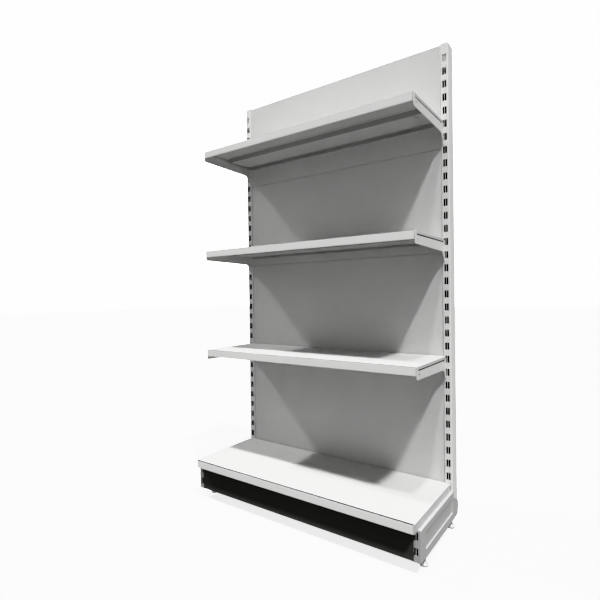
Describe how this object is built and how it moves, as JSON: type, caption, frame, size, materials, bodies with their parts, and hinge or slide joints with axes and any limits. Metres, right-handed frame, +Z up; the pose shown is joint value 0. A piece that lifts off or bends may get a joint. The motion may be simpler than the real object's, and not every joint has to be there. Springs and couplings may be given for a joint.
{
  "type": "gondola shelving unit",
  "caption": "Single-sided steel gondola bay with slotted uprights, back panels, hooked shelves, a base deck, a kick plate and levelling feet.",
  "frame": {"origin": "on the floor at the middle of the footprint", "axes": "+Z up, the shopper's side faces -Y, +X to the shopper's right"},
  "size_m": [1.034, 0.4318, 1.863],
  "materials": {
    "upright_coat": "fine powder coat, satin",
    "leg_coat": "fine powder coat, satin",
    "panel_coat": "fine powder coat, matt",
    "shelf_coat": "fine powder coat, satin",
    "strip_coat": "smooth powder coat, satin",
    "bracket_coat": "fine powder coat, satin",
    "kick_coat": "black powder coat, satin",
    "cap_plastic": "moulded, satin",
    "foot_plastic": "moulded, slightly translucent",
    "zinc_steel": "zinc plated"
  },
  "bodies": {
    "frame": {"back_panel_1": "panel_coat", "back_panel_2": "panel_coat", "back_panel_3": "panel_coat", "back_panel_4": "panel_coat", "base_leg_left": "leg_coat", "base_leg_right": "leg_coat", "beam_bottom_bolt_left": "zinc_steel", "beam_bottom_bolt_right": "zinc_steel", "beam_top_bolt_left": "zinc_steel", "beam_top_bolt_right": "zinc_steel", "foot_nut_front_left": "zinc_steel", "foot_nut_front_right": "zinc_steel", "foot_nut_rear_left": "zinc_steel", "foot_nut_rear_right": "zinc_steel", "leg_bolt_left": "zinc_steel", "leg_bolt_right": "zinc_steel", "tie_beam_bottom": "panel_coat", "tie_beam_top": "panel_coat", "upright_cap_left": "cap_plastic", "upright_cap_right": "cap_plastic", "upright_left": "upright_coat", "upright_right": "upright_coat"},
    "deck": {"base_deck": "shelf_coat", "base_price_strip": "strip_coat", "deck_stiffener_front": "shelf_coat", "deck_stiffener_rear": "shelf_coat"},
    "brackets_1": {"bracket_1_left": "bracket_coat", "bracket_1_right": "bracket_coat", "bracket_stud_1_left": "zinc_steel", "bracket_stud_1_right": "zinc_steel"},
    "brackets_2": {"bracket_2_left": "bracket_coat", "bracket_2_right": "bracket_coat", "bracket_stud_2_left": "zinc_steel", "bracket_stud_2_right": "zinc_steel"},
    "brackets_3": {"bracket_3_left": "bracket_coat", "bracket_3_right": "bracket_coat", "bracket_stud_3_left": "zinc_steel", "bracket_stud_3_right": "zinc_steel"},
    "foot_front_left": {"foot_pad_front_left": "foot_plastic", "foot_stem_front_left": "zinc_steel"},
    "foot_front_right": {"foot_pad_front_right": "foot_plastic", "foot_stem_front_right": "zinc_steel"},
    "foot_rear_left": {"foot_pad_rear_left": "foot_plastic", "foot_stem_rear_left": "zinc_steel"},
    "foot_rear_right": {"foot_pad_rear_right": "foot_plastic", "foot_stem_rear_right": "zinc_steel"},
    "kick": {"kick_plate": "kick_coat"},
    "tray_1": {"price_strip_1": "strip_coat", "shelf_stiffener_1": "shelf_coat", "shelf_tray_1": "shelf_coat"},
    "tray_2": {"price_strip_2": "strip_coat", "shelf_stiffener_2": "shelf_coat", "shelf_tray_2": "shelf_coat"},
    "tray_3": {"price_strip_3": "strip_coat", "shelf_stiffener_3": "shelf_coat", "shelf_tray_3": "shelf_coat"}
  },
  "joints": [
    {"name": "bracket_unhook_1", "type": "slide", "parent": "frame", "child": "brackets_1", "axis": [0, 0, 1], "range_m": [0, 0.0075]},
    {"name": "tray_lift_1", "type": "slide", "parent": "brackets_1", "child": "tray_1", "axis": [0, 0, 1], "range_m": [0, 0.05]},
    {"name": "bracket_unhook_2", "type": "slide", "parent": "frame", "child": "brackets_2", "axis": [0, 0, 1], "range_m": [0, 0.0075]},
    {"name": "tray_lift_2", "type": "slide", "parent": "brackets_2", "child": "tray_2", "axis": [0, 0, 1], "range_m": [0, 0.05]},
    {"name": "bracket_unhook_3", "type": "slide", "parent": "frame", "child": "brackets_3", "axis": [0, 0, 1], "range_m": [0, 0.0075]},
    {"name": "tray_lift_3", "type": "slide", "parent": "brackets_3", "child": "tray_3", "axis": [0, 0, 1], "range_m": [0, 0.05]},
    {"name": "deck_lift", "type": "slide", "parent": "frame", "child": "deck", "axis": [0, 0, 1], "range_m": [0, 0.08]},
    {"name": "kick_unhook", "type": "slide", "parent": "frame", "child": "kick", "axis": [0, 0, 1], "range_m": [0, 0.01]},
    {"name": "foot_turn_front_left", "type": "hinge", "parent": "frame", "child": "foot_front_left", "pos_m": [-0.5, -0.1161, 0], "axis": [0, 0, 1], "continuous": true},
    {"name": "foot_turn_front_right", "type": "hinge", "parent": "frame", "child": "foot_front_right", "pos_m": [0.5, -0.1161, 0], "axis": [0, 0, 1], "continuous": true},
    {"name": "foot_turn_rear_left", "type": "hinge", "parent": "frame", "child": "foot_rear_left", "pos_m": [-0.5, 0.1779, 0], "axis": [0, 0, 1], "continuous": true},
    {"name": "foot_turn_rear_right", "type": "hinge", "parent": "frame", "child": "foot_rear_right", "pos_m": [0.5, 0.1779, 0], "axis": [0, 0, 1], "continuous": true}
  ]
}
